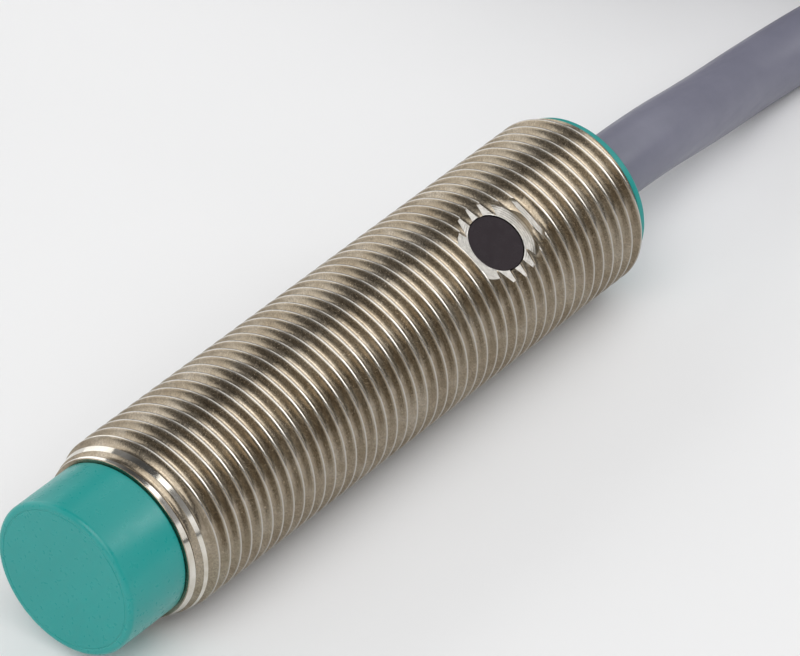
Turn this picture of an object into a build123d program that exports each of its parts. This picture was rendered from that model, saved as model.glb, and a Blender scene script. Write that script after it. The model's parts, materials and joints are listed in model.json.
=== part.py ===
from build123d import *

import os
from math import cos, radians, sin, tan

# An M12 x 1 inductive proximity sensor with a fixed cable, built as its separate pieces, in mm.
# The origin is the centre of the sensing face, +X runs along the barrel towards the cable and
# +Z is up. The barrel lies on a flat surface at z = -THREAD_R, and its cable lies on it too.

# Barrel: M12 x 1 thread on a drilled brass tube
THREAD_R = 6.0
PITCH = 1.0
CREST_FLAT = PITCH / 8
ROOT_FLAT = PITCH / 4
ROOT_R = THREAD_R - 0.6134 * PITCH
BORE_R = 4.9
BARREL_FRONT = 5.0
BARREL_REAR = 49.7
RUN_OUT_R = 5.9
FRONT_END_R = 5.45
REAR_END_R = 5.6
FIRST_CREST = 6.4
CREST_COUNT = 43

# Sensing cap: a cup that stands out of the barrel and plugs into its bore
CAP_R = 5.2
CAP_INSIDE_R = 4.4
CAP_FACE = 0.9
CAP_REAR = 12.0
CAP_EDGE = 0.3

# Coil in a half pot core, and the holder behind it
CORE_FRONT = 0.95
CORE_REAR = 4.15
CORE_BACK = 1.1
CORE_R = 4.3
CORE_POST_R = 1.6
CORE_HOLE_R = 0.8
CORE_WINDOW_R = 3.55
BOBBIN_GAP = 0.05
BOBBIN_WALL = 0.25
COIL_R = 3.2
LEAD_R = 0.15
LEAD_SIDE = 3.95
LEAD_HEIGHT = 0.4
LEAD_SLOT = 1.3
HOLDER_FRONT = 4.3
HOLDER_REAR = 6.6
HOLDER_R = 4.35

# Indicator: its direction leans from +Z towards -Y, and the circuit board faces it
INDICATOR_X = 38.0
INDICATOR_ANGLE = 34.0
WINDOW_R = 1.9
WINDOW_TOP = 5.15
WINDOW_FOOT_R = 2.25
WINDOW_FOOT_BOTTOM = 2.4
WINDOW_FOOT_TOP = 4.2
WINDOW_GUIDE_R = 1.2
WINDOW_BOTTOM = 1.05
SPOTFACE_R = 2.8
SPOTFACE_HEIGHT = 5.2

# Circuit board, with sizes of its parts as (length, width, height)
BOARD_FRONT = 5.2
BOARD_REAR = 41.2
BOARD_WIDTH = 7.0
BOARD_THICK = 0.8
BOARD_TOP = 0.2
CHIP = (4.9, 3.9, 1.4)
CHIP_X = 15.0
CHIP_PITCH = 1.27
TRANSISTOR = (2.9, 1.3, 1.0)
TRANSISTOR_AT = (26.0, 1.6)
FILTER_CAPACITOR = (3.5, 2.8, 1.9)
FILTER_CAPACITOR_AT = (21.0, -1.5)
DIODE = (2.7, 1.6, 1.1)
DIODE_X = 31.2
DIODE_SIDE = 1.9
LED = (1.6, 1.2, 0.8)
CAPACITOR = (1.2, 1.25, 0.85)
CAPACITORS_AT = [(9.6, -1.7), (9.6, 1.7), (20.6, 2.1), (28.6, -2.2)]
RESISTOR = (1.2, 0.85, 0.45)
RESISTORS_AT = [(25.0, -1.0), (25.0, -2.5), (34.6, -1.8), (34.6, 1.8), (11.6, -2.9), (18.4, 2.9)]
TERMINAL_LENGTH = 0.4
LEG_WIDTH = 0.42
LEG_THICK = 0.2
LEG_LENGTH = 1.0

# Metal foil screen, rolled inside the bore
SCREEN_FRONT = 12.1
SCREEN_REAR = 35.4
SCREEN_THICK = 0.16

# Rear plug and cable entry
PLUG_FRONT = 46.2
PLUG_REAR = 50.2
PLUG_R = 5.5
PLUG_EDGE = 0.15
CABLE_R = 2.3
JACKET_FRONT = 44.0
GRIP_FRONT = 44.4
GRIP_REAR = 46.0
GRIP_R = 2.9
WIRE_R = 0.65
WIRE_SPREAD = 0.95
SOLDER_X = 39.8
SOLDER_R = 0.5
WIRE_START = 40.0
WIRE_HEIGHT = 0.9
WIRE_BEND_R = 0.8
# Each wire's place on the board, sideways, and its direction from the cable's middle, in degrees
WIRES = {"brown": (-2.2, 210), "blue": (0.0, 90), "black": (2.2, 330)}

# Cable hank: a racetrack of two columns of turns, lying on its two ties
FLOOR = -THREAD_R
TIE_THICK = 0.5
TIE_WIDTH = 2.6
TIE_HEAD = (4.6, 4.0, 2.6)
TIE_TAIL = 7.0
HANK_FRONT = 85.0
HANK_STRAIGHT = 48.0
HANK_SIDE = -7.0
HANK_LAYERS = 5
HANK_IN_R = 5 * CABLE_R
HANK_OUT_R = HANK_IN_R + 4 * CABLE_R
HANK_X = HANK_FRONT + HANK_OUT_R + HANK_STRAIGHT / 2
HANK_Y = HANK_SIDE + HANK_OUT_R
HANK_BOTTOM = FLOOR + TIE_THICK
HANK_HEIGHT = 2 * CABLE_R * HANK_LAYERS

# Routes along the middle of the cable. It leaves the plug, comes down to the surface and joins
# the hank's nearer side. Its other end leaves the innermost turn and lies inside the hank, where
# its three wires come out of the jacket.
CABLE_ROUTE = [
    (50.2, 0, 0),
    (57, 0, 0),
    (65, 0.9, -1.9),
    (73.2, 2.1, -3.7),
    (82, 1.2, -3.7),
    (90, -1.7, -3.5),
    (97.5, -4.2, -3.3),
]
TAIL_ROUTE = [
    (155.5, 27.4, -3.2),
    (148, 27.2, -3.2),
    (140.5, 24.9, -3.6),
    (133.5, 21.4, -3.7),
]
WIRE_END_ROUTES = {
    "brown": [(133.4, 21.35, -2.75), (127.6, 18.7, -3.4), (121.2, 17.4, -4.6), (114.6, 17.7, -5.3),
              (108.4, 15.8, -5.33), (102.8, 14.0, -5.35)],
    "blue": [(133.8, 20.6, -4.2), (128.6, 17.0, -4.5), (123, 13.6, -5.1), (116.6, 11.7, -5.35),
             (110.2, 11.4, -5.35), (104.6, 10.2, -5.35)],
    "black": [(133, 22.1, -4.2), (127.2, 20.1, -4.5), (120.9, 20.4, -5.1), (114.6, 21.9, -5.35),
              (108.3, 21.2, -5.35), (103, 18.6, -5.35)],
}
FERRULE_R = 0.5
FERRULE_COLLAR = 1.2
FERRULE_LENGTH = 7.0

# The board's plane: local x along the barrel, y sideways and z towards the indicator
FACING = (0, -sin(radians(INDICATOR_ANGLE)), cos(radians(INDICATOR_ANGLE)))
SIDEWAYS = (0, cos(radians(INDICATOR_ANGLE)), sin(radians(INDICATOR_ANGLE)))
BOARD = Plane(origin=(0, 0, 0), x_dir=(1, 0, 0), z_dir=FACING)
BOARD_FACE = BOARD.offset(BOARD_TOP)
INDICATOR = Plane(origin=(INDICATOR_X, 0, 0), x_dir=(1, 0, 0), z_dir=FACING)
# Square to the barrel: local x sideways, y towards the indicator and z along the barrel
ACROSS = Plane(origin=(0, 0, 0), x_dir=SIDEWAYS, z_dir=(1, 0, 0))

os.makedirs("parts", exist_ok=True)


def turned(*outline):
    """Turns an outline of (x, radius) points about the barrel's axis."""
    with BuildSketch(Plane.XZ) as profile:
        with BuildLine():
            Polyline(*outline, close=True)
        make_face()
    revolve(profile.sketch, axis=Axis.X)


def thread_outline():
    """(x, radius) points of the thread between its two chamfered run-outs, each a low part crest."""
    flank = (PITCH - CREST_FLAT - ROOT_FLAT) / 2
    rise = RUN_OUT_R - FRONT_END_R
    points = [(BARREL_FRONT + rise, RUN_OUT_R), (FIRST_CREST - PITCH + CREST_FLAT, RUN_OUT_R),
              (FIRST_CREST - PITCH + CREST_FLAT + flank, ROOT_R)]
    for turn in range(CREST_COUNT):
        crest = FIRST_CREST + turn * PITCH
        points.append((crest - CREST_FLAT / 2 - flank, ROOT_R))
        points.append((crest - CREST_FLAT / 2, THREAD_R))
        points.append((crest + CREST_FLAT / 2, THREAD_R))
        points.append((crest + CREST_FLAT / 2 + flank, ROOT_R))
    last_root = points[-1][0] + ROOT_FLAT
    points.append((last_root, ROOT_R))
    points.append((last_root + flank, RUN_OUT_R))
    return points


def on_board(places, size):
    """Blocks of one (length, width, height) on the board, at (x, sideways) places."""
    with BuildSketch(BOARD_FACE) as outline:
        with Locations(*places):
            Rectangle(size[0], size[1])
    extrude(outline.sketch, amount=size[2])


def round_pin(plane, radius, length):
    """A round bar that starts at a plane."""
    with BuildSketch(plane) as end:
        Circle(radius)
    extrude(end.sketch, amount=length)


def bend_radii(route):
    """The largest even bends of a route: 0.45 of the shorter run over tan of half the turn."""
    runs = [Vector(*end) - Vector(*start) for start, end in zip(route, route[1:])]
    radii = []
    for run, next_run in zip(runs, runs[1:]):
        half_turn = radians(run.get_angle(next_run)) / 2
        radii.append(0.45 * min(run.length, next_run.length) / tan(half_turn))
    return radii


def cord(name, route, radius):
    """Sweeps a round cord along a route of straight runs joined by tangent arcs."""
    radii = bend_radii(route)
    with BuildLine():
        middle = FilletPolyline(*route, radius=radii)
    with BuildSketch(Plane(origin=middle @ 0, z_dir=middle % 0)) as end:
        Circle(radius)
    sweep(end.sketch, path=middle)
    print(f"{name}: {middle.length:.1f} mm long, bend radii {[round(r, 1) for r in radii]}")
    return middle


# ---- Sensing end ----

with BuildPart() as sensing_cap:
    turned((0, 0), (0, CAP_R), (BARREL_FRONT, CAP_R), (BARREL_FRONT, BORE_R), (CAP_REAR, BORE_R),
           (CAP_REAR, CAP_INSIDE_R), (CAP_FACE, CAP_INSIDE_R), (CAP_FACE, 0))
    fillet(sensing_cap.edges().filter_by(GeomType.CIRCLE).group_by(Axis.X)[0], CAP_EDGE)
sensing_cap.part.label = "sensing_cap"
export_step(sensing_cap.part, "parts/sensing_cap.step")

with BuildPart() as ferrite_core:
    turned((CORE_FRONT, CORE_HOLE_R), (CORE_FRONT, CORE_POST_R), (CORE_REAR - CORE_BACK, CORE_POST_R),
           (CORE_REAR - CORE_BACK, CORE_WINDOW_R), (CORE_FRONT, CORE_WINDOW_R), (CORE_FRONT, CORE_R),
           (CORE_REAR, CORE_R), (CORE_REAR, CORE_HOLE_R))
    with BuildSketch(ACROSS.offset(CORE_FRONT)):
        with Locations((CORE_R, 0), (-CORE_R, 0)):
            Rectangle(2 * (CORE_R - CORE_WINDOW_R), LEAD_SLOT)
    extrude(amount=CORE_REAR - CORE_FRONT, mode=Mode.SUBTRACT)
ferrite_core.part.label = "ferrite_core"
export_step(ferrite_core.part, "parts/ferrite_core.step")

BOBBIN_FRONT = CORE_FRONT + BOBBIN_GAP
BOBBIN_REAR = CORE_REAR - CORE_BACK - BOBBIN_GAP
BOBBIN_IN_R = CORE_POST_R + BOBBIN_GAP
BOBBIN_TUBE_R = BOBBIN_IN_R + BOBBIN_WALL
BOBBIN_R = CORE_WINDOW_R - BOBBIN_GAP
with BuildPart() as coil_bobbin:
    turned((BOBBIN_FRONT, BOBBIN_IN_R), (BOBBIN_FRONT, BOBBIN_R), (BOBBIN_FRONT + BOBBIN_WALL, BOBBIN_R),
           (BOBBIN_FRONT + BOBBIN_WALL, BOBBIN_TUBE_R), (BOBBIN_REAR - BOBBIN_WALL, BOBBIN_TUBE_R),
           (BOBBIN_REAR - BOBBIN_WALL, BOBBIN_R), (BOBBIN_REAR, BOBBIN_R), (BOBBIN_REAR, BOBBIN_IN_R))
coil_bobbin.part.label = "coil_bobbin"
export_step(coil_bobbin.part, "parts/coil_bobbin.step")

COIL_FRONT = BOBBIN_FRONT + BOBBIN_WALL
COIL_REAR = BOBBIN_REAR - BOBBIN_WALL
with BuildPart() as coil_winding:
    turned((COIL_FRONT, BOBBIN_TUBE_R), (COIL_FRONT, COIL_R), (COIL_REAR, COIL_R),
           (COIL_REAR, BOBBIN_TUBE_R))
coil_winding.part.label = "coil_winding"
export_step(coil_winding.part, "parts/coil_winding.step")

with BuildPart() as coil_leads:
    for side in (-1, 1):
        bends = [(2.0, side * COIL_R, LEAD_HEIGHT), (2.5, side * LEAD_SIDE, LEAD_HEIGHT),
                 (6.9, side * LEAD_SIDE, LEAD_HEIGHT), (7.7, side * 3.0, LEAD_HEIGHT)]
        with BuildLine() as lead:
            FilletPolyline(*[BOARD.from_local_coords(bend) for bend in bends], radius=0.3)
        with BuildSketch(Plane(origin=lead.line @ 0, z_dir=lead.line % 0)):
            Circle(LEAD_R)
        sweep(path=lead.line)
coil_leads.part.label = "coil_leads"
export_step(coil_leads.part, "parts/coil_leads.step")

with BuildPart() as core_holder:
    round_pin(ACROSS.offset(HOLDER_FRONT), HOLDER_R, HOLDER_REAR - HOLDER_FRONT)
    with BuildSketch(ACROSS.offset(HOLDER_FRONT)):
        with Locations((CORE_R, 0), (-CORE_R, 0)):
            Rectangle(2 * (CORE_R - CORE_WINDOW_R), LEAD_SLOT)
    extrude(amount=HOLDER_REAR - HOLDER_FRONT, mode=Mode.SUBTRACT)
    with BuildSketch(ACROSS.offset(BOARD_FRONT)):
        with Locations((0, BOARD_TOP - BOARD_THICK / 2)):
            Rectangle(BOARD_WIDTH, BOARD_THICK)
    extrude(amount=HOLDER_REAR - BOARD_FRONT, mode=Mode.SUBTRACT)
core_holder.part.label = "core_holder"
export_step(core_holder.part, "parts/core_holder.step")

# ---- Electronics ----

with BuildPart() as circuit_board:
    with BuildSketch(BOARD_FACE):
        with Locations(((BOARD_FRONT + BOARD_REAR) / 2, 0)):
            Rectangle(BOARD_REAR - BOARD_FRONT, BOARD_WIDTH)
    extrude(amount=-BOARD_THICK)
circuit_board.part.label = "circuit_board"
export_step(circuit_board.part, "parts/circuit_board.step")

with BuildPart() as oscillator_chip:
    on_board([(CHIP_X, 0)], CHIP)
    chamfer(oscillator_chip.faces().sort_by(SortBy.DISTANCE)[-1].edges(), 0.2)
oscillator_chip.part.label = "oscillator_chip"
export_step(oscillator_chip.part, "parts/oscillator_chip.step")

with BuildPart() as chip_legs:
    columns = [CHIP_X + (k - 1.5) * CHIP_PITCH for k in range(4)]
    rows = [side * (CHIP[1] + LEG_LENGTH) / 2 for side in (-1, 1)]
    on_board([(x, y) for x in columns for y in rows], (LEG_WIDTH, LEG_LENGTH, LEG_THICK))
chip_legs.part.label = "chip_legs"
export_step(chip_legs.part, "parts/chip_legs.step")

with BuildPart() as output_transistor:
    on_board([TRANSISTOR_AT], TRANSISTOR)
output_transistor.part.label = "output_transistor"
export_step(output_transistor.part, "parts/output_transistor.step")

with BuildPart() as transistor_legs:
    leg_row = (TRANSISTOR[1] + LEG_LENGTH / 2) / 2
    leg_places = [(TRANSISTOR_AT[0] + x, TRANSISTOR_AT[1] + y)
                  for x, y in ((-0.95, -leg_row), (0.95, -leg_row), (0, leg_row))]
    on_board(leg_places, (LEG_WIDTH, LEG_LENGTH / 2, LEG_THICK))
transistor_legs.part.label = "transistor_legs"
export_step(transistor_legs.part, "parts/transistor_legs.step")

with BuildPart() as filter_capacitor:
    on_board([FILTER_CAPACITOR_AT], FILTER_CAPACITOR)
filter_capacitor.part.label = "filter_capacitor"
export_step(filter_capacitor.part, "parts/filter_capacitor.step")

with BuildPart() as protection_diodes:
    on_board([(DIODE_X, -DIODE_SIDE), (DIODE_X, DIODE_SIDE)], DIODE)
protection_diodes.part.label = "protection_diodes"
export_step(protection_diodes.part, "parts/protection_diodes.step")

with BuildPart() as capacitors:
    on_board(CAPACITORS_AT, CAPACITOR)
capacitors.part.label = "capacitors"
export_step(capacitors.part, "parts/capacitors.step")

with BuildPart() as resistors:
    on_board(RESISTORS_AT, RESISTOR)
resistors.part.label = "resistors"
export_step(resistors.part, "parts/resistors.step")

with BuildPart() as chip_terminals:
    for places, size in ((CAPACITORS_AT, CAPACITOR), (RESISTORS_AT, RESISTOR)):
        reach = (size[0] + TERMINAL_LENGTH) / 2
        ends = [(x + end * reach, y) for x, y in places for end in (-1, 1)]
        on_board(ends, (TERMINAL_LENGTH, size[1], size[2]))
chip_terminals.part.label = "chip_terminals"
export_step(chip_terminals.part, "parts/chip_terminals.step")

with BuildPart() as status_led:
    on_board([(INDICATOR_X, 0)], LED)
status_led.part.label = "status_led"
export_step(status_led.part, "parts/status_led.step")

with BuildPart() as led_window:
    round_pin(INDICATOR.offset(WINDOW_BOTTOM), WINDOW_GUIDE_R, WINDOW_TOP - WINDOW_BOTTOM)
    round_pin(INDICATOR.offset(WINDOW_FOOT_BOTTOM), WINDOW_FOOT_R, WINDOW_FOOT_TOP - WINDOW_FOOT_BOTTOM)
    round_pin(INDICATOR.offset(WINDOW_FOOT_TOP), WINDOW_R, WINDOW_TOP - WINDOW_FOOT_TOP)
led_window.part.label = "led_window"
export_step(led_window.part, "parts/led_window.step")

with BuildPart() as screen_foil:
    turned((SCREEN_FRONT, BORE_R - SCREEN_THICK), (SCREEN_FRONT, BORE_R), (SCREEN_REAR, BORE_R),
           (SCREEN_REAR, BORE_R - SCREEN_THICK))
screen_foil.part.label = "screen_foil"
export_step(screen_foil.part, "parts/screen_foil.step")

# ---- Cable entry ----

inner_wires = {}
for name, (side, angle) in WIRES.items():
    wire_side = WIRE_SPREAD * cos(radians(angle))
    wire_height = WIRE_SPREAD * sin(radians(angle))
    bends = [(WIRE_START, side, WIRE_HEIGHT), (BOARD_REAR + 0.3, side, WIRE_HEIGHT),
             (JACKET_FRONT - 0.6, wire_side, wire_height), (PLUG_REAR, wire_side, wire_height)]
    with BuildPart() as inner_wire:
        with BuildLine() as wire:
            FilletPolyline(*[BOARD.from_local_coords(bend) for bend in bends], radius=WIRE_BEND_R)
        with BuildSketch(Plane(origin=wire.line @ 0, z_dir=wire.line % 0)):
            Circle(WIRE_R)
        sweep(path=wire.line)
    inner_wire.part.label = f"inner_wire_{name}"
    export_step(inner_wire.part, f"parts/inner_wire_{name}.step")
    inner_wires[name] = inner_wire.part

with BuildPart() as solder_joints:
    with BuildSketch(BOARD_FACE):
        with Locations(*[(SOLDER_X, side) for side, _ in WIRES.values()]):
            Circle(SOLDER_R)
    extrude(amount=SOLDER_R + WIRE_HEIGHT - BOARD_TOP)
    fillet(solder_joints.faces().filter_by(GeomType.PLANE).group_by(SortBy.DISTANCE)[-1].edges(), 0.2)
    for wire_part in inner_wires.values():
        add(wire_part, mode=Mode.SUBTRACT)
solder_joints.part.label = "solder_joints"
export_step(solder_joints.part, "parts/solder_joints.step")

with BuildPart() as cable_entry:
    round_pin(ACROSS.offset(JACKET_FRONT), CABLE_R, PLUG_REAR - JACKET_FRONT)
    for wire_part in inner_wires.values():
        add(wire_part, mode=Mode.SUBTRACT)
cable_entry.part.label = "cable_entry"
export_step(cable_entry.part, "parts/cable_entry.step")

with BuildPart() as cable_grip:
    turned((GRIP_FRONT, CABLE_R), (GRIP_FRONT, GRIP_R), (GRIP_REAR, GRIP_R), (GRIP_REAR, CABLE_R))
cable_grip.part.label = "cable_grip"
export_step(cable_grip.part, "parts/cable_grip.step")

with BuildPart() as end_plug:
    turned((PLUG_FRONT, CABLE_R), (PLUG_FRONT, BORE_R), (BARREL_REAR, BORE_R), (BARREL_REAR, PLUG_R),
           (PLUG_REAR, PLUG_R), (PLUG_REAR, CABLE_R))
    fillet(end_plug.edges().filter_by(GeomType.CIRCLE).group_by(Axis.X)[-1].sort_by(SortBy.LENGTH)[-1],
           PLUG_EDGE)
end_plug.part.label = "end_plug"
export_step(end_plug.part, "parts/end_plug.step")

# ---- Resin and barrel ----

with BuildPart() as potting:
    turned((CORE_REAR, 0), (CORE_REAR, CAP_INSIDE_R), (CAP_REAR, CAP_INSIDE_R), (CAP_REAR, BORE_R),
           (PLUG_FRONT, BORE_R), (PLUG_FRONT, 0))
    for embedded in (coil_leads, core_holder, circuit_board, oscillator_chip, chip_legs, output_transistor,
                     transistor_legs, filter_capacitor, protection_diodes, capacitors, resistors,
                     chip_terminals, status_led, led_window, screen_foil, solder_joints, cable_entry,
                     cable_grip):
        add(embedded.part, mode=Mode.SUBTRACT)
    for wire_part in inner_wires.values():
        add(wire_part, mode=Mode.SUBTRACT)
potting.part.label = "potting"
export_step(potting.part, "parts/potting.step")

with BuildPart() as barrel:
    turned((BARREL_FRONT, BORE_R), (BARREL_FRONT, FRONT_END_R), *thread_outline(),
           (BARREL_REAR, REAR_END_R), (BARREL_REAR, BORE_R))
    with BuildSketch(INDICATOR.offset(SPOTFACE_HEIGHT)):
        Circle(SPOTFACE_R)
    extrude(amount=THREAD_R, mode=Mode.SUBTRACT)
    with BuildSketch(INDICATOR.offset(THREAD_R / 2)):
        Circle(WINDOW_R)
    extrude(amount=THREAD_R, mode=Mode.SUBTRACT)
barrel.part.label = "barrel"
export_step(barrel.part, "parts/barrel.step")

# ---- Free cable, its hank and ties ----

with BuildPart() as cable:
    cord("cable", CABLE_ROUTE, CABLE_R)
cable.part.label = "cable"
export_step(cable.part, "parts/cable.step")

with BuildPart() as cable_hank:
    with BuildSketch(Plane.XY.offset(HANK_BOTTOM)):
        with Locations((HANK_X, HANK_Y)):
            SlotOverall(HANK_STRAIGHT + 2 * HANK_OUT_R, 2 * HANK_OUT_R)
            SlotOverall(HANK_STRAIGHT + 2 * HANK_IN_R, 2 * HANK_IN_R, mode=Mode.SUBTRACT)
    extrude(amount=HANK_HEIGHT)
cable_hank.part.label = "cable_hank"
export_step(cable_hank.part, "parts/cable_hank.step")

with BuildPart() as cable_tail:
    cord("cable_tail", TAIL_ROUTE, CABLE_R)
cable_tail.part.label = "cable_tail"
export_step(cable_tail.part, "parts/cable_tail.step")

for name, side in (("near", -1), ("far", 1)):
    bundle_y = HANK_Y + side * (HANK_IN_R + HANK_OUT_R) / 2
    bundle_z = HANK_BOTTOM + HANK_HEIGHT / 2
    bundle_width = HANK_OUT_R - HANK_IN_R
    head_y = bundle_y + side * (bundle_width - TIE_HEAD[1]) / 2
    tie_top = HANK_BOTTOM + HANK_HEIGHT + TIE_THICK
    with BuildPart() as tie:
        with BuildSketch(Plane.YZ.offset(HANK_X - TIE_WIDTH / 2)):
            with Locations((bundle_y, bundle_z)):
                RectangleRounded(bundle_width + 2 * TIE_THICK, HANK_HEIGHT + 2 * TIE_THICK, 2 * TIE_THICK)
                Rectangle(bundle_width, HANK_HEIGHT, mode=Mode.SUBTRACT)
        extrude(amount=TIE_WIDTH)
        with BuildSketch(Plane.XY.offset(tie_top)):
            with Locations((HANK_X, head_y)):
                RectangleRounded(TIE_HEAD[0], TIE_HEAD[1], TIE_THICK)
        extrude(amount=TIE_HEAD[2])
        with BuildSketch(Plane.XY.offset(tie_top + TIE_THICK)):
            with Locations((HANK_X, head_y - side * (TIE_HEAD[1] + TIE_TAIL) / 2)):
                Rectangle(TIE_WIDTH, TIE_TAIL)
        extrude(amount=TIE_THICK)
    tie.part.label = f"cable_tie_{name}"
    export_step(tie.part, f"parts/cable_tie_{name}.step")

for name, route in WIRE_END_ROUTES.items():
    with BuildPart() as wire_end:
        wire_line = cord(f"wire_end_{name}", route, WIRE_R)
    wire_end.part.label = f"wire_end_{name}"
    export_step(wire_end.part, f"parts/wire_end_{name}.step")
    ferrule_start = Plane(origin=wire_line @ 1, z_dir=wire_line % 1)
    with BuildPart() as ferrule:
        round_pin(ferrule_start, WIRE_R, FERRULE_COLLAR)
        round_pin(ferrule_start.offset(FERRULE_COLLAR), FERRULE_R, FERRULE_LENGTH - FERRULE_COLLAR)
    ferrule.part.label = f"ferrule_{name}"
    export_step(ferrule.part, f"parts/ferrule_{name}.step")
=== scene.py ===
import bpy
import json
import math
import numpy as np
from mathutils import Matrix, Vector


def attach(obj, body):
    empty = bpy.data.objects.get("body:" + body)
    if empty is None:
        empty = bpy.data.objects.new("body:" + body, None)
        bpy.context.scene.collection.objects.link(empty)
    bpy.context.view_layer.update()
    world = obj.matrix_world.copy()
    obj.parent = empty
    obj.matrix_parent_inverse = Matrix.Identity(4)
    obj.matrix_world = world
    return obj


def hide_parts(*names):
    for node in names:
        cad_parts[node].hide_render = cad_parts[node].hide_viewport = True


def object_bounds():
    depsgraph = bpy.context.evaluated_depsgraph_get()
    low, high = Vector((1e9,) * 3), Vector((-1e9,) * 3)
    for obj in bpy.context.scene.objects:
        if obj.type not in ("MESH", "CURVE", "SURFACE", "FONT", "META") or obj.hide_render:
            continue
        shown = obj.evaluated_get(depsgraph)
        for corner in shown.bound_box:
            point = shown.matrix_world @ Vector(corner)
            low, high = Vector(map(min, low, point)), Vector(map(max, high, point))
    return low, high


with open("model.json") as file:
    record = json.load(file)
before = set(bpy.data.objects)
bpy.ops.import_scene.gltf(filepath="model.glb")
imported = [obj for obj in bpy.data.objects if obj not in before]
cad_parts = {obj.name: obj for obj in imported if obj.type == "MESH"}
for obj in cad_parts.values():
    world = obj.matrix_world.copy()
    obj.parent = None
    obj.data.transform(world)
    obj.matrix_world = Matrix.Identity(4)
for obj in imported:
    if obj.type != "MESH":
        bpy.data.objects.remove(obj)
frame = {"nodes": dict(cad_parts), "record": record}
nodes = frame["nodes"]
cad_low, cad_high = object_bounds()
MM = 0.001
scene = bpy.context.scene


# ---- Barrel sizes, in mm and degrees ----

THREAD_R = 6.0
ROOT_R = 5.3866
PITCH = 1.0
BORE_R = 4.9
BARREL_FRONT = 5.0
BARREL_REAR = 49.7
CREST_PHASE = 0.909
CREST_HALF = 0.03
CREST_EASE = 0.016
CREST_DROP = 0.014
FLANK_HOLLOW = 1.85
AROUND = 150
TURNS = 48
FIRST_TURN = 2
FRONT_LIP_R = 5.44
FRONT_CONE_LENGTH = 2.36
FRONT_CONE_RISE = 0.73
REAR_CONE_R = 5.64
INDICATOR_X = 38.0
INDICATOR_ANGLE = 34.0
SPOTFACE_R = 2.8
SPOTFACE_HEIGHT = 5.2
STEP_R = 2.85
STEP_HEIGHT = 5.62
STEP_SHIFT = 0.55
WINDOW_R = 1.9
WINDOW_GAP = 0.07
HOLE_BOTTOM = 3.0
CUTTER_TOP = 8.0


# ---- Camera ----

camera_data = bpy.data.cameras.new("camera")
camera = bpy.data.objects.new("camera", camera_data)
scene.collection.objects.link(camera)
camera.location = (-0.22270, -0.19970, 0.23752)
camera.rotation_euler = (math.radians(90 - 36.283), 0, math.radians(-51.906))
camera_data.sensor_width = 36
camera_data.lens = 291.53
camera_data.clip_start = 0.01
camera_data.clip_end = 20
scene.camera = camera
scene.view_settings.view_transform = "Standard"


# ---- Materials ----

class Shader:
    """A Principled material whose colour, roughness and bump come from noise in the row frame."""

    def __init__(self, name, roughness, metallic=0.0, **constants):
        self.material = bpy.data.materials.new(name)
        self.material.use_nodes = True
        self.tree = self.material.node_tree
        self.surface = self.tree.nodes["Principled BSDF"]
        self.surface.inputs["Metallic"].default_value = metallic
        self.surface.inputs["Roughness"].default_value = roughness
        for socket, value in constants.items():
            self.surface.inputs[socket.replace("_", " ")].default_value = value
        self.place = self.add("ShaderNodeTexCoord").outputs["Object"]

    def add(self, kind, **settings):
        node = self.tree.nodes.new(kind)
        for key, value in settings.items():
            setattr(node, key, value)
        return node

    def link(self, source, socket):
        self.tree.links.new(source, socket)

    def stretched(self, scale):
        """The place, scaled by a different amount along each axis."""
        node = self.add("ShaderNodeMapping")
        node.inputs["Scale"].default_value = scale
        self.link(self.place, node.inputs["Vector"])
        return node.outputs["Vector"]

    def noise(self, scale, detail=3.0, roughness=0.5, stretch=(1, 1, 1), distortion=0.0):
        node = self.add("ShaderNodeTexNoise")
        node.inputs["Scale"].default_value = scale
        node.inputs["Detail"].default_value = detail
        node.inputs["Roughness"].default_value = roughness
        node.inputs["Distortion"].default_value = distortion
        self.link(self.stretched(stretch), node.inputs["Vector"])
        return node.outputs["Fac"]

    def ramp(self, factor, *stops):
        """Colour (or grey) stops, each a place from 0 to 1 and a value."""
        node = self.add("ShaderNodeValToRGB")
        while len(node.color_ramp.elements) < len(stops):
            node.color_ramp.elements.new(0.5)
        for element, (at, value) in zip(node.color_ramp.elements, stops):
            element.position = at
            element.color = (*value, 1) if isinstance(value, tuple) else (value, value, value, 1)
        self.link(factor, node.inputs["Fac"])
        return node.outputs["Color"]

    def mix(self, factor, a, b, blend="MIX"):
        node = self.add("ShaderNodeMix", data_type="RGBA", blend_type=blend)
        for value, socket in ((factor, node.inputs[0]), (a, node.inputs[6]), (b, node.inputs[7])):
            if isinstance(value, bpy.types.NodeSocket):
                self.link(value, socket)
            else:
                socket.default_value = value
        return node.outputs[2]

    def maths(self, operation, a, b=0.0):
        node = self.add("ShaderNodeMath", operation=operation)
        for value, socket in ((a, node.inputs[0]), (b, node.inputs[1])):
            if isinstance(value, bpy.types.NodeSocket):
                self.link(value, socket)
            else:
                socket.default_value = value
        return node.outputs[0]

    def colour(self, source):
        self.link(source, self.surface.inputs["Base Color"])

    def rough(self, source):
        self.link(source, self.surface.inputs["Roughness"])

    def bump(self, height, strength, distance):
        node = self.add("ShaderNodeBump")
        node.inputs["Strength"].default_value = strength
        node.inputs["Distance"].default_value = distance
        self.link(height, node.inputs["Height"])
        before = self.surface.inputs["Normal"].links
        if before:
            self.link(before[0].from_socket, node.inputs["Normal"])
        self.link(node.outputs["Normal"], self.surface.inputs["Normal"])


def shade(colour, amount):
    return tuple(min(c * amount, 1.0) for c in colour)


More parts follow.
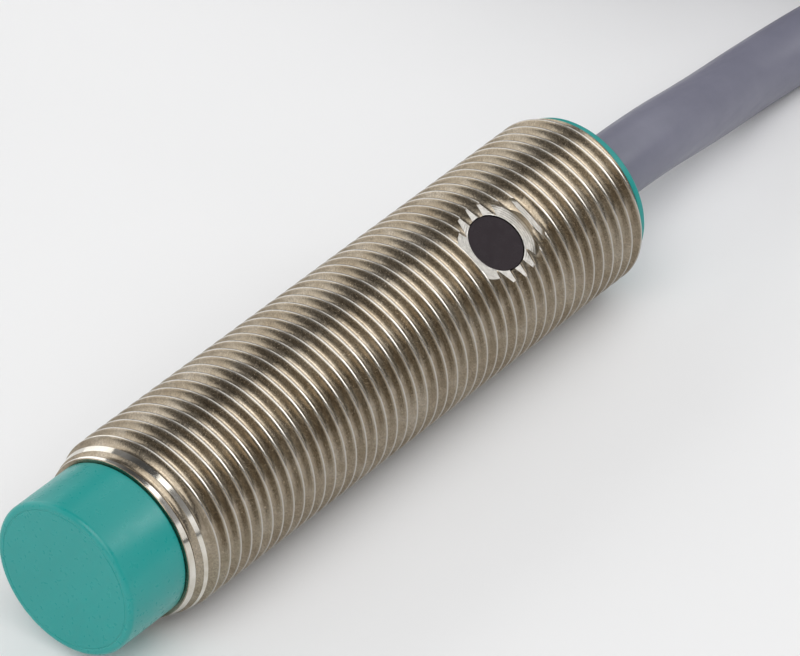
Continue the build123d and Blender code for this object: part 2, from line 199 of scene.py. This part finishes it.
def moulded(name, colour, roughness, grain=2500, depth=0.00002, mottle=0.05, **constants):
    """Moulded plastic: a fine grain, and faint cloudy differences in colour and gloss."""
    made = Shader(name, roughness, **constants)
    cloud = made.noise(140, 4, 0.6)
    made.colour(made.ramp(cloud, (0.3, shade(colour, 1 - mottle)), (0.7, shade(colour, 1 + mottle))))
    fine = made.noise(grain, 3, 0.6)
    made.rough(made.ramp(fine, (0.3, max(roughness - 0.06, 0.02)), (0.7, roughness + 0.06)))
    made.bump(fine, 0.25, depth)
    return made.material


def metal(name, colour, roughness, tint=None, scale=900, stretch=(1, 1, 1), depth=0.00002):
    """Bare or plated metal, with uneven tarnish and fine tool marks."""
    made = Shader(name, roughness, 1.0)
    patches = made.noise(scale / 3, 5, 0.65)
    made.colour(made.ramp(patches, (0.35, tint or shade(colour, 0.8)), (0.65, colour)))
    marks = made.noise(scale * 3, 4, 0.7, stretch)
    made.rough(made.ramp(marks, (0.3, max(roughness - 0.08, 0.03)), (0.7, roughness + 0.12)))
    made.bump(marks, 0.3, depth)
    return made.material


def thread_metal():
    """Nickel-plated brass thread: warm and dull in the grooves, brighter and worn on the crests."""
    made = Shader("barrel_thread", 0.2, 1.0)
    split = made.add("ShaderNodeSeparateXYZ")
    made.link(made.place, split.inputs[0])
    across = made.maths("POWER", split.outputs["Y"], 2.0)
    upward = made.maths("POWER", split.outputs["Z"], 2.0)
    radius = made.maths("SQRT", made.maths("ADD", across, upward))
    height = made.maths("MULTIPLY", made.maths("SUBTRACT", radius, 0.00538), 1 / 0.00062)
    blotch = made.noise(420, 6, 0.7)
    dull, middle, clean = (0.25, 0.20, 0.14), (0.33, 0.278, 0.208), (0.41, 0.36, 0.29)
    tarnish = made.ramp(blotch, (0.3, dull), (0.5, middle), (0.68, clean))
    speckle = made.noise(8000, 3, 0.7)
    grains = made.ramp(speckle, (0.32, 0.72), (0.5, 0.97), (0.66, 1.18))
    groove = made.mix(1.0, tarnish, grains, "MULTIPLY")
    worn = made.ramp(height, (0.90, 0.0), (0.985, 1.0))
    made.colour(made.mix(worn, groove, (0.52, 0.495, 0.455, 1)))
    made.rough(made.ramp(speckle, (0.3, 0.16), (0.7, 0.28)))
    made.bump(speckle, 0.2, 0.000006)
    lathe_marks = made.noise(2600, 3, 0.6, (3.0, 0.12, 0.12))
    made.bump(lathe_marks, 0.15, 0.000008)
    return made.material


def milled_metal():
    """Bare milled seat round the window: bright, with curved cutter marks."""
    made = Shader("barrel_milled", 0.38, 1.0)
    marks = made.noise(3800, 4, 0.7, (1, 0.35, 1))
    made.colour(made.ramp(marks, (0.3, (0.46, 0.44, 0.405)), (0.7, (0.74, 0.715, 0.67))))
    made.rough(made.ramp(marks, (0.3, 0.3), (0.7, 0.5)))
    made.bump(marks, 0.3, 0.00001)
    centred = made.add("ShaderNodeMapping")
    centred.vector_type = "TEXTURE"
    centred.inputs["Location"].default_value = (INDICATOR_X * MM, 0, 0)
    centred.inputs["Rotation"].default_value = (math.radians(INDICATOR_ANGLE), 0, 0)
    made.link(made.place, centred.inputs["Vector"])
    arcs = made.add("ShaderNodeTexWave")
    arcs.wave_type = "RINGS"
    arcs.rings_direction = "Z"
    arcs.inputs["Scale"].default_value = 1900
    arcs.inputs["Distortion"].default_value = 1.5
    arcs.inputs["Detail Scale"].default_value = 0.6
    made.link(centred.outputs["Vector"], arcs.inputs["Vector"])
    made.bump(arcs.outputs["Fac"], 0.9, 0.00002)
    return made.material


def polished_metal():
    """Turned cones at the barrel's ends, and its bore: nickel plate that has kept its shine."""
    made = Shader("barrel_chamfer", 0.12, 1.0)
    cloud = made.noise(700, 4, 0.6)
    made.colour(made.ramp(cloud, (0.35, (0.62, 0.58, 0.50)), (0.65, (0.78, 0.75, 0.69))))
    made.rough(made.ramp(cloud, (0.3, 0.08), (0.7, 0.18)))
    lathe_marks = made.noise(3000, 3, 0.6, (3.0, 0.12, 0.12))
    made.bump(lathe_marks, 0.2, 0.000008)
    return made.material


def jacket_plastic():
    """Grey PVC jacket: a satin skin with faint drawn streaks."""
    made = Shader("cable_jacket", 0.42)
    made.surface.inputs["Specular IOR Level"].default_value = 0.5
    cloud = made.noise(260, 4, 0.6)
    made.colour(made.ramp(cloud, (0.3, (0.165, 0.165, 0.215)), (0.7, (0.195, 0.195, 0.25))))
    fine = made.noise(1500, 4, 0.6, (0.25, 1, 1))
    made.rough(made.ramp(fine, (0.3, 0.36), (0.7, 0.5)))
    made.bump(fine, 0.2, 0.00003)
    return made.material


TEAL = (0.006, 0.285, 0.262)
finishes = {
    "cap_plastic": moulded("cap_plastic", TEAL, 0.31, depth=0.000005, mottle=0.03,
                           Specular_IOR_Level=0.5),
    "plug_plastic": moulded("plug_plastic", TEAL, 0.4, mottle=0.04, Specular_IOR_Level=0.42),
    "barrel_metal": thread_metal(),
    "ferrite": metal("ferrite", (0.12, 0.12, 0.13), 0.5),
    "bobbin_plastic": moulded("bobbin_plastic", (0.72, 0.68, 0.56), 0.5),
    "copper": metal("copper", (0.85, 0.42, 0.2), 0.3, (0.7, 0.3, 0.14)),
    "holder_plastic": moulded("holder_plastic", (0.03, 0.03, 0.035), 0.5),
    "board_laminate": moulded("board_laminate", (0.02, 0.16, 0.07), 0.35, mottle=0.15),
    "chip_black": moulded("chip_black", (0.015, 0.015, 0.017), 0.5, mottle=0.2),
    "tinned_metal": metal("tinned_metal", (0.78, 0.78, 0.77), 0.3),
    "tantalum_yellow": moulded("tantalum_yellow", (0.72, 0.42, 0.05), 0.45),
    "ceramic_tan": moulded("ceramic_tan", (0.42, 0.27, 0.14), 0.5),
    "led_resin": moulded("led_resin", (0.8, 0.7, 0.3), 0.15),
    "window_plastic": moulded("window_plastic", (0.018, 0.010, 0.014), 0.3, mottle=0.15,
                              Specular_IOR_Level=0.14),
    "foil_copper": metal("foil_copper", (0.82, 0.45, 0.25), 0.25, (0.66, 0.36, 0.2)),
    "resin": moulded("resin", (0.02, 0.02, 0.022), 0.35),
    "cable_jacket": jacket_plastic(),
    "grip_brass": metal("grip_brass", (0.8, 0.6, 0.28), 0.3),
    "wire_brown": moulded("wire_brown", (0.13, 0.05, 0.02), 0.4),
    "wire_blue": moulded("wire_blue", (0.02, 0.07, 0.36), 0.4),
    "wire_black": moulded("wire_black", (0.012, 0.012, 0.013), 0.4),
    "ferrule_metal": metal("ferrule_metal", (0.8, 0.8, 0.8), 0.25),
    "tie_nylon": moulded("tie_nylon", (0.72, 0.72, 0.66), 0.42, Subsurface_Weight=0.15),
}
for subpart in frame["record"]["subparts"]:
    data = nodes[subpart["node"]].data
    data.materials.clear()
    data.materials.append(finishes[subpart["material_slot"]])


# ---- Mesh helpers ----

def piece_of(mesh, slot, *stands_for):
    """Puts a mesh in the scene as a piece of the sensor."""
    piece = bpy.data.objects.new(mesh.name, mesh)
    scene.collection.objects.link(piece)
    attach(piece, "root")
    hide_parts(*stands_for)
    return piece


def mesh_of(name, points, faces):
    """A mesh from points given in mm."""
    mesh = bpy.data.meshes.new(name)
    mesh.from_pydata([tuple(float(c) * MM for c in point) for point in points], [], faces)
    mesh.validate()
    return mesh


def smooth_shaded(mesh, sharp_angle):
    mesh.polygons.foreach_set("use_smooth", [True] * len(mesh.polygons))
    mesh.set_sharp_from_angle(angle=math.radians(sharp_angle))


def lathe(name, outline, around=128):
    """A closed (x, radius) outline turned about the barrel's axis."""
    turns = [2 * math.pi * i / around for i in range(around)]
    ring = [(math.cos(turn), math.sin(turn)) for turn in turns]
    points = [(x, -r * s, r * c) for x, r in outline for c, s in ring]
    faces = []
    count = len(outline)
    for j in range(count):
        k = (j + 1) % count
        for i in range(around):
            n = (i + 1) % around
            faces.append((j * around + i, j * around + n, k * around + n, k * around + i))
    return mesh_of(name, points, faces)


def outward(mesh):
    """Turns the mesh inside out if its volume comes out negative."""
    mesh.calc_loop_triangles()
    co = np.array([v.co for v in mesh.vertices])
    tri = np.array([t.vertices for t in mesh.loop_triangles])
    volume = np.einsum("ij,ij->i", co[tri[:, 0]], np.cross(co[tri[:, 1]], co[tri[:, 2]])).sum()
    if volume < 0:
        mesh.flip_normals()
    return mesh


def corner(centre, radius, start, end, steps=6):
    """Points of a rounded corner, from one angle to another, in (x, radius)."""
    turn = [start + (end - start) * i / steps for i in range(steps + 1)]
    return [(centre[0] + radius * math.cos(math.radians(a)), centre[1] + radius * math.sin(math.radians(a)))
            for a in turn]


# ---- Barrel ----

def thread_profile():
    """(share of a pitch, radius) samples of one turn: a narrow crest and hollow flanks."""
    edge = CREST_HALF + CREST_EASE
    shoulder = THREAD_R - CREST_DROP
    side = []
    for s in (0.14, 0.36, 0.64, 0.86):
        side.append((edge + (0.5 - edge) * s, ROOT_R + (shoulder - ROOT_R) * (1 - s) ** FLANK_HOLLOW))
    rear = [(CREST_HALF, THREAD_R), (edge, shoulder), *side, (0.5, ROOT_R)]
    front = [(1 - u, r) for u, r in reversed(rear[:-1])]
    return rear + front


def threaded_rod():
    """A closed rod with a right-handed thread, longer than the barrel at both ends."""
    profile = thread_profile()
    steps = len(profile)
    total = steps * TURNS
    points = []
    for m in range(total + 1):
        share, radius = profile[m % steps]
        x = CREST_PHASE + FIRST_TURN + m // steps + share
        for i in range(AROUND):
            phi = 2 * math.pi * i / AROUND
            points.append((x + PITCH * i / AROUND, -radius * math.sin(phi), radius * math.cos(phi)))
    faces = []
    for m in range(total):
        for i in range(AROUND - 1):
            a = m * AROUND + i
            faces.append((a, a + 1, a + AROUND + 1, a + AROUND))
        if m + 1 + steps <= total:
            a, b = m * AROUND + AROUND - 1, (m + steps) * AROUND
            faces.append((a, b, b + AROUND, a + AROUND))
    start = list(range(AROUND)) + [m * AROUND for m in range(steps, 0, -1)]
    end = [total * AROUND + i for i in range(AROUND)]
    end += [m * AROUND + AROUND - 1 for m in range(total - 1, total - steps - 1, -1)]
    first = CREST_PHASE + FIRST_TURN
    for loop, x, turned in ((start, first - 2, True), (end, first + TURNS + 2, False)):
        points.append((x, 0, 0))
        tip = len(points) - 1
        for a, b in zip(loop, loop[1:] + loop[:1]):
            faces.append((tip, b, a) if turned else (tip, a, b))
    return outward(mesh_of("barrel_threaded", points, faces))


def drum(name, radius, low, high, at=INDICATOR_X, around=96):
    """A closed cylinder along the indicator's direction, between two heights above the axis."""
    lean = math.radians(INDICATOR_ANGLE)
    facing = Vector((0, -math.sin(lean), math.cos(lean)))
    sideways = Vector((0, math.cos(lean), math.sin(lean)))
    along = Vector((1, 0, 0))
    centre = Vector((at, 0, 0))
    points = []
    for height in (low, high):
        for i in range(around):
            a = 2 * math.pi * i / around
            points.append(centre + facing * height + radius * (along * math.cos(a) + sideways * math.sin(a)))
    faces = [tuple(range(around)), tuple(range(2 * around - 1, around - 1, -1))]
    faces += [(i, i + around, (i + 1) % around + around, (i + 1) % around) for i in range(around)]
    return outward(mesh_of(name, points, faces))


def cut(target, tool_mesh, operation):
    """Applies one boolean with a tool mesh, then throws the tool away."""
    tool = bpy.data.objects.new(tool_mesh.name, tool_mesh)
    scene.collection.objects.link(tool)
    modifier = target.modifiers.new("cut", "BOOLEAN")
    modifier.operation = operation
    modifier.solver = "MANIFOLD"
    modifier.object = tool
    graph = bpy.context.evaluated_depsgraph_get()
    result = bpy.data.meshes.new_from_object(target.evaluated_get(graph))
    target.modifiers.clear()
    target.data = result
    bpy.data.objects.remove(tool)


barrel_mesh = threaded_rod()
barrel = bpy.data.objects.new("barrel_threaded", barrel_mesh)
scene.collection.objects.link(barrel)
blank = outward(lathe("blank", [
    (BARREL_FRONT, BORE_R),
    (BARREL_FRONT, FRONT_LIP_R - 0.05),
    (BARREL_FRONT + 0.04, FRONT_LIP_R),
    (BARREL_FRONT + 0.04 + FRONT_CONE_LENGTH, FRONT_LIP_R + FRONT_CONE_RISE),
    (BARREL_REAR - 0.6, REAR_CONE_R + 0.56),
    (BARREL_REAR - 0.04, REAR_CONE_R),
    (BARREL_REAR, REAR_CONE_R - 0.04),
    (BARREL_REAR, BORE_R),
], AROUND))
cut(barrel, blank, "INTERSECT")
cut(barrel, drum("seat", SPOTFACE_R, SPOTFACE_HEIGHT, CUTTER_TOP), "DIFFERENCE")
cut(barrel, drum("seat_step", STEP_R, STEP_HEIGHT, CUTTER_TOP, INDICATOR_X + STEP_SHIFT), "DIFFERENCE")
cut(barrel, drum("seat_hole", WINDOW_R + WINDOW_GAP, HOLE_BOTTOM, CUTTER_TOP), "DIFFERENCE")
barrel.data.name = "barrel_threaded"
barrel.data.materials.clear()
for finish in (finishes["barrel_metal"], polished_metal(), milled_metal()):
    barrel.data.materials.append(finish)
smooth_shaded(barrel.data, 32)
lean_in = math.radians(INDICATOR_ANGLE)
seat_facing = Vector((0, -math.sin(lean_in), math.cos(lean_in)))
for face in barrel.data.polygons:
    middle = face.center / MM
    radius = math.hypot(middle.y, middle.z)
    height = middle.dot(seat_facing)
    sideways = math.sqrt(max(radius ** 2 - height ** 2, 0))
    off_seat = math.hypot(middle.x - INDICATOR_X, sideways)
    on_front_cone = radius > 5.42 + 0.309 * (middle.x - BARREL_FRONT)
    on_rear_cone = radius > 5.58 + BARREL_REAR - middle.x
    if off_seat < SPOTFACE_R + 0.65 and height > 4.0 and face.normal.dot(seat_facing) > 0.985:
        face.material_index = 2
    elif on_front_cone or on_rear_cone or radius < BORE_R + 0.01:
        face.material_index = 1
    else:
        face.material_index = 0
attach(barrel, "root")
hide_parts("barrel")


# ---- Cap and end plug ----

CAP_R = 5.2
CAP_EDGE = 0.3
cap_outline = [(0.0, 0.02), (0.0, 4.62), (0.03, 4.66), (0.03, 4.72), (0.0, 4.76)]
cap_outline += corner((CAP_EDGE, CAP_R - CAP_EDGE), CAP_EDGE, 180, 90)
cap_outline += [(4.9, CAP_R), (4.98, 5.14), (4.98, BORE_R), (12, BORE_R), (12, 4.4), (0.9, 4.4), (0.9, 0.02)]
cap_mesh = outward(lathe("cap", cap_outline, 160))
smooth_shaded(cap_mesh, 35)
cap_mesh.materials.append(finishes["cap_plastic"])
piece_of(cap_mesh, "cap_plastic", "sensing_cap")

PLUG_EDGE = 0.15
plug_outline = [(46.2, 2.3), (46.2, BORE_R), (49.7, BORE_R), (49.7, 5.5)]
plug_outline += corner((50.2 - PLUG_EDGE, 5.5 - PLUG_EDGE), PLUG_EDGE, 90, 0)
plug_outline += [(50.2, 2.42), (50.14, 2.36), (50.1, 2.3)]
plug_mesh = outward(lathe("plug", plug_outline, 128))
smooth_shaded(plug_mesh, 35)
plug_mesh.materials.append(finishes["plug_plastic"])
piece_of(plug_mesh, "plug_plastic", "end_plug")


# ---- Cable ----

CABLE_R = 2.3
TURN_RISE = 4.6
HANK_Y = 13.7
NEAR_ARC_X = 105.7
FAR_ARC_X = 153.7
OUTER_R = 18.4
INNER_R = 13.8
FIRST_TURN_Z = -3.2
CABLE_ROUTE = [
    (50.2, 0, 0),
    (57, 0, 0),
    (65, 0.9, -1.9),
    (73.2, 2.1, -3.7),
    (82, 1.2, -3.7),
    (90, -1.7, -3.5),
    (97.5, -4.2, -3.3),
]
TAIL_ROUTE = [
    (155.5, 27.4, -3.2),
    (148, 27.2, -3.2),
    (140.5, 24.9, -3.6),
    (133.5, 21.4, -3.7),
]
WIRE_R = 0.65
WIRE_END_ROUTES = {
    "brown": [(133.4, 21.35, -2.75), (127.6, 18.7, -3.4), (121.2, 17.4, -4.6), (114.6, 17.7, -5.3),
              (108.4, 15.8, -5.33), (102.8, 14.0, -5.35)],
    "blue": [(133.8, 20.6, -4.2), (128.6, 17.0, -4.5), (123, 13.6, -5.1), (116.6, 11.7, -5.35),
             (110.2, 11.4, -5.35), (104.6, 10.2, -5.35)],
    "black": [(133, 22.1, -4.2), (127.2, 20.1, -4.5), (120.9, 20.4, -5.1), (114.6, 21.9, -5.35),
              (108.3, 21.2, -5.35), (103, 18.6, -5.35)],
}


def smooth(t):
    t = min(max(t, 0), 1)
    return t * t * (3 - 2 * t)


def hank_points():
    """The hank's turns: up the outer column, over to the inner one on top, and down it again."""
    arc = [-75, -45, -15, 15, 45, 75]
    loose = 1 / math.cos(math.radians(15))
    points = []
    for turn in range(10):
        outer = turn < 5
        radius = OUTER_R if outer else INNER_R
        z = FIRST_TURN_Z + TURN_RISE * (turn if outer else 9 - turn)
        for x in ((NEAR_ARC_X + 3, NEAR_ARC_X + 24) if turn else (NEAR_ARC_X + 6, NEAR_ARC_X + 25)):
            points.append((x, HANK_Y - radius, z))
        points.append((FAR_ARC_X - 3, HANK_Y - radius, z))
        for angle in arc:
            a = math.radians(angle)
            reach = radius * loose
            points.append((FAR_ARC_X + reach * math.cos(a), HANK_Y + reach * math.sin(a), z))
        if turn == 9:
            break
        points.append((FAR_ARC_X - 3, HANK_Y + radius, z))
        points.append((NEAR_ARC_X + 24, HANK_Y + radius, z))
        points.append((NEAR_ARC_X + 3, HANK_Y + radius, z))
        for angle in arc:
            a = math.radians(angle)
            share = (angle + 90) / 180
            if turn < 4:
                r, rise = OUTER_R, TURN_RISE * smooth(share)
            elif turn == 4:
                r, rise = OUTER_R + (INNER_R - OUTER_R) * smooth(share), 0
            else:
                r, rise = INNER_R, -TURN_RISE * smooth(share)
            reach = r * loose
            points.append((NEAR_ARC_X - reach * math.cos(a), HANK_Y - reach * math.sin(a), z + rise))
    return points


def tube(name, points, radius, finish):
    """A round cord whose line is one smooth spline over these control points, given in mm."""
    data = bpy.data.curves.new(name, "CURVE")
    data.dimensions = "3D"
    spline = data.splines.new("NURBS")
    spline.points.add(len(points) - 1)
    for point, place in zip(spline.points, points):
        point.co = (place[0] * MM, place[1] * MM, place[2] * MM, 1)
    spline.order_u = 3
    spline.use_endpoint_u = True
    spline.resolution_u = 8
    data.bevel_depth = radius * MM
    data.bevel_resolution = 6
    data.use_fill_caps = True
    data.materials.append(finish)
    piece = bpy.data.objects.new(name, data)
    scene.collection.objects.link(piece)
    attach(piece, "root")
    return piece


cable = tube("cable_jacket", CABLE_ROUTE + hank_points() + TAIL_ROUTE, CABLE_R, finishes["cable_jacket"])
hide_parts("cable", "cable_hank", "cable_tail")
for colour, route in WIRE_END_ROUTES.items():
    wire = tube(f"wire_{colour}", route, WIRE_R, finishes[f"wire_{colour}"])
    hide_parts(f"wire_end_{colour}")


# ---- Floor and light ----

FLOOR_HALF = 1.5
FLOOR_GAP = 0.00001
floor_mesh = bpy.data.meshes.new("floor")
floor_mesh.from_pydata([(-FLOOR_HALF, -FLOOR_HALF, 0), (FLOOR_HALF, -FLOOR_HALF, 0),
                        (FLOOR_HALF, FLOOR_HALF, 0), (-FLOOR_HALF, FLOOR_HALF, 0)], [], [(0, 1, 2, 3)])
floor = bpy.data.objects.new("floor", floor_mesh)
floor.location.z = cad_low.z - FLOOR_GAP
scene.collection.objects.link(floor)
paper = Shader("floor_paper", 0.9)
paper.colour(paper.ramp(paper.noise(30, 3), (0.3, 0.86), (0.7, 0.88)))
floor_mesh.materials.append(paper.material)

world = bpy.data.worlds.new("world")
scene.world = world
world.use_nodes = True
sky = world.node_tree
direction = sky.nodes.new("ShaderNodeTexCoord").outputs["Generated"]
upward = sky.nodes.new("ShaderNodeSeparateXYZ")
sky.links.new(direction, upward.inputs[0])
# Dim at the horizon and straight overhead, and lighter between them.
dim = sky.nodes.new("ShaderNodeValToRGB")
while len(dim.color_ramp.elements) > 1:
    dim.color_ramp.elements.remove(dim.color_ramp.elements[-1])
for place, grey in ((0.0, 0.10), (0.14, 0.14), (0.45, 0.34), (0.8, 0.24), (0.95, 0.07)):
    stop = dim.color_ramp.elements[0] if place == 0 else dim.color_ramp.elements.new(place)
    stop.position = place
    stop.color = (grey, grey, grey * 1.02, 1)
sky.links.new(upward.outputs["Z"], dim.inputs["Fac"])
sky.links.new(dim.outputs["Color"], sky.nodes["Background"].inputs["Color"])


def softbox(name, azimuth, elevation, across, tall, radiance, distance=0.7):
    """A light panel facing the sensor. Azimuth 0 is towards -X and 90 towards -Y, all in degrees."""
    a, e = math.radians(azimuth), math.radians(elevation)
    towards = Vector((-math.cos(e) * math.cos(a), -math.cos(e) * math.sin(a), math.sin(e)))
    data = bpy.data.lights.new(name, "AREA")
    data.shape = "RECTANGLE"
    data.size = 2 * distance * math.tan(math.radians(across / 2))
    data.size_y = 2 * distance * math.tan(math.radians(tall / 2))
    data.energy = radiance * data.size * data.size_y * math.pi
    light = bpy.data.objects.new(name, data)
    light.location = Vector((0.028, 0, 0)) + towards * distance
    light.rotation_euler = towards.to_track_quat("Z", "Y").to_euler()
    scene.collection.objects.link(light)


softbox("light_front", 15, 36, 46, 44, 1.9)
softbox("light_left", -80, 20, 80, 45, 1.3)
softbox("light_back", 168, 48, 70, 40, 0.9)
softbox("light_high", 40, 66, 48, 34, 1.9)
softbox("light_streak", 140, 34, 20, 22, 2.5)
softbox("light_right", 97, 14, 45, 20, 0.8)
